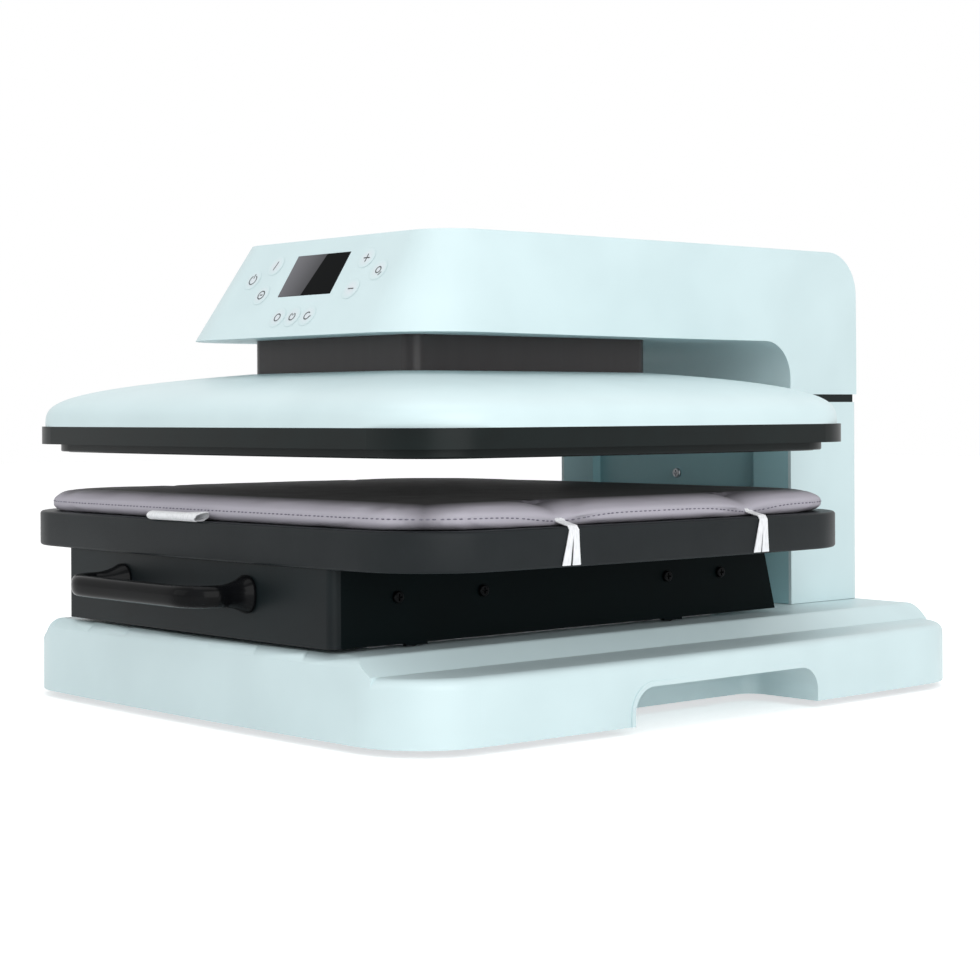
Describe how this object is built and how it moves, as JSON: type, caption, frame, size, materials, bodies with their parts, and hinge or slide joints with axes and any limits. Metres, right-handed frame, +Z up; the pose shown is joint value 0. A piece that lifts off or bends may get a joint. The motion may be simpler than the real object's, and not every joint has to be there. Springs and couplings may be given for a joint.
{
  "type": "automatic heat press",
  "caption": "Automatic flat heat press: a motor lowers a hot plate onto a padded table that slides out like a drawer, under a C-shaped head with a slanted touch panel.",
  "frame": {"origin": "on the surface the press stands on, under the middle of its overall box", "axes": "+X to the user's right, +Y to the back, +Z up"},
  "size_m": [0.4372, 0.5369, 0.295],
  "materials": {
    "shell": "pale mint moulded ABS, satin",
    "black_frame": "black moulded, satin",
    "sleeve": "dark warm grey, satin",
    "table": "dark grey fine texture paint",
    "drawer": "green-black paint, satin",
    "handle": "black, glossy",
    "pad_cloth": "lilac-grey woven cover",
    "tape": "white tape",
    "rubber": "black",
    "steel": "zinc plated",
    "screw_black": "black oxide",
    "plate": "black non-stick coat",
    "element": "heat-tinted sheath",
    "felt": "white insulation",
    "brass": "machined",
    "gear": "white acetal",
    "motor": "grey",
    "glass": "black display window",
    "keys": "pale key spots",
    "board": "green circuit board",
    "black_plastic": "black"
  },
  "bodies": {
    "base": {"base_shell": "shell", "base_pan": "steel", "rubber_feet": "rubber", "cover_screws": "screw_black", "chassis_plate": "steel", "rail_brackets": "steel", "outer_rail_left": "steel", "outer_rail_right": "steel", "column_frame": "steel", "arm_beam": "steel", "column_front_cover": "shell", "column_rear_cover": "shell", "seam_band": "black_frame", "head_shell": "shell", "head_underside": "shell", "touch_keys": "keys", "display_glass": "glass", "display_module": "board", "control_board": "board", "power_board": "board", "power_inlet": "black_plastic", "switch_housing": "black_plastic", "drive_motor": "motor", "screw_bearing": "steel", "guide_bushings": "brass"},
    "lid": {"lid_cover": "shell", "neck_sleeve": "sleeve", "platen_frame": "black_frame", "heating_plate": "plate", "heating_element": "element", "insulation_sheet": "felt", "backing_plate": "steel", "carriage_plate": "steel", "plate_posts": "steel", "push_tube": "steel", "lift_nut": "brass", "guide_rods": "steel", "thermostat": "steel"},
    "lift_screw": {"lead_screw": "steel", "screw_gear": "gear"},
    "pinion": {"motor_pinion": "brass"},
    "drawer": {"drawer_shell": "drawer", "drawer_front": "drawer", "drawer_handle": "handle", "handle_screws": "screw_black", "inner_rail_left": "steel", "inner_rail_right": "steel", "rail_screws": "screw_black", "table_tray": "table", "press_pad": "pad_cloth", "pad_ties": "tape", "pad_tag": "tape", "roller_pins": "steel"},
    "mid_rail_left": {"middle_rail_left": "steel"},
    "mid_rail_right": {"middle_rail_right": "steel"},
    "rocker": {"power_rocker": "black_plastic"},
    "roller_front_left": {"roller_front_left": "rubber"},
    "roller_front_right": {"roller_front_right": "rubber"},
    "roller_rear_left": {"roller_rear_left": "rubber"},
    "roller_rear_right": {"roller_rear_right": "rubber"}
  },
  "joints": [
    {"name": "lid_press", "type": "slide", "parent": "base", "child": "lid", "axis": [0, 0, 1], "range_m": [-0.0245, 0]},
    {"name": "screw_turn", "type": "hinge", "parent": "base", "child": "lift_screw", "pos_m": [0, -0.0343, 0.2683], "axis": [0, 0, 1], "range_deg": [-2210, 5]},
    {"name": "pinion_turn", "type": "hinge", "parent": "base", "child": "pinion", "pos_m": [0, 0.0257, 0.2723], "axis": [0, 0, 1], "range_deg": [-15, 6630]},
    {"name": "drawer_slide", "type": "slide", "parent": "base", "child": "drawer", "axis": [0, -1, 0], "range_m": [0, 0.22]},
    {"name": "mid_slide_left", "type": "slide", "parent": "base", "child": "mid_rail_left", "axis": [0, -1, 0], "range_m": [-0.001, 0.111]},
    {"name": "mid_slide_right", "type": "slide", "parent": "base", "child": "mid_rail_right", "axis": [0, -1, 0], "range_m": [-0.001, 0.111]},
    {"name": "rocker_tilt", "type": "hinge", "parent": "base", "child": "rocker", "pos_m": [-0.034, 0.2568, 0.092], "axis": [1, 0, 0], "range_deg": [-18, 0]},
    {"name": "roller_front_left_turn", "type": "hinge", "parent": "drawer", "child": "roller_front_left", "pos_m": [-0.1335, -0.164, 0.0582], "axis": [1, 0, 0], "range_deg": [-5, 2106]},
    {"name": "roller_front_right_turn", "type": "hinge", "parent": "drawer", "child": "roller_front_right", "pos_m": [0.1335, -0.164, 0.0582], "axis": [1, 0, 0], "range_deg": [-5, 2106]},
    {"name": "roller_rear_left_turn", "type": "hinge", "parent": "drawer", "child": "roller_rear_left", "pos_m": [-0.1335, 0.046, 0.0582], "axis": [1, 0, 0], "range_deg": [-5, 2106]},
    {"name": "roller_rear_right_turn", "type": "hinge", "parent": "drawer", "child": "roller_rear_right", "pos_m": [0.1335, 0.046, 0.0582], "axis": [1, 0, 0], "range_deg": [-5, 2106]}
  ],
  "couplings": [
    {"joint": "screw_turn", "follows": "lid_press", "rad_per_m": 1570.8},
    {"joint": "pinion_turn", "follows": "lid_press", "rad_per_m": -4712.4},
    {"joint": "mid_slide_left", "follows": "drawer_slide", "ratio": 0.5},
    {"joint": "mid_slide_right", "follows": "drawer_slide", "ratio": 0.5},
    {"joint": "roller_front_left_turn", "follows": "drawer_slide", "rad_per_m": 166.67},
    {"joint": "roller_front_right_turn", "follows": "drawer_slide", "rad_per_m": 166.67},
    {"joint": "roller_rear_left_turn", "follows": "drawer_slide", "rad_per_m": 166.67},
    {"joint": "roller_rear_right_turn", "follows": "drawer_slide", "rad_per_m": 166.67}
  ]
}
